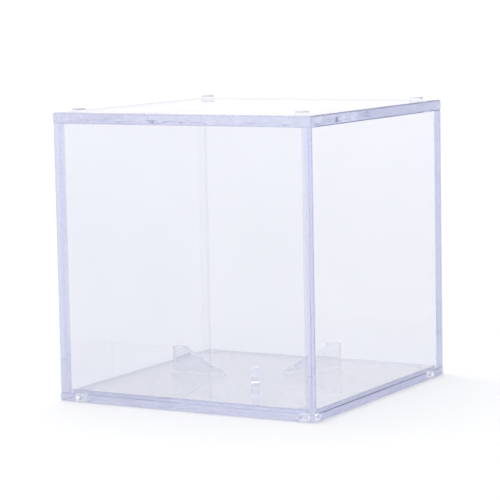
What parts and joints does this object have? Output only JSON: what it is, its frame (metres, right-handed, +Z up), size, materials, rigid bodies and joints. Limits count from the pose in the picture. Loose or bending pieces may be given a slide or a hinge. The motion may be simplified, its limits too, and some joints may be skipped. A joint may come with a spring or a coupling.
{
  "type": "ball display case",
  "caption": "Clear cube-shaped display case for a ball: a lift-off panel cover with stacking lugs over a base with a radial-fin cradle.",
  "frame": {"origin": "centre of the base plate's underside", "axes": "+Z up through the top panel, +X to the right wall, -Y to the front wall"},
  "size_m": [0.0826, 0.0826, 0.0835],
  "materials": {
    "cover_clear": "water-clear, polished",
    "base_clear": "water-clear, polished",
    "cradle_clear": "water-clear, as moulded"
  },
  "bodies": {
    "base": {"base_plate": "base_clear", "floor_plate": "base_clear", "cradle_fin_1": "cradle_clear", "cradle_fin_2": "cradle_clear", "cradle_fin_3": "cradle_clear"},
    "cover": {"front_wall": "cover_clear", "back_wall": "cover_clear", "left_wall": "cover_clear", "right_wall": "cover_clear", "top_panel": "cover_clear", "stacking_lug_1": "cover_clear", "stacking_lug_2": "cover_clear", "stacking_lug_3": "cover_clear", "stacking_lug_4": "cover_clear"}
  },
  "joints": [
    {"name": "cover_lift", "type": "slide", "parent": "base", "child": "cover", "axis": [0, 0, 1], "range_m": [0, 0.1]}
  ]
}
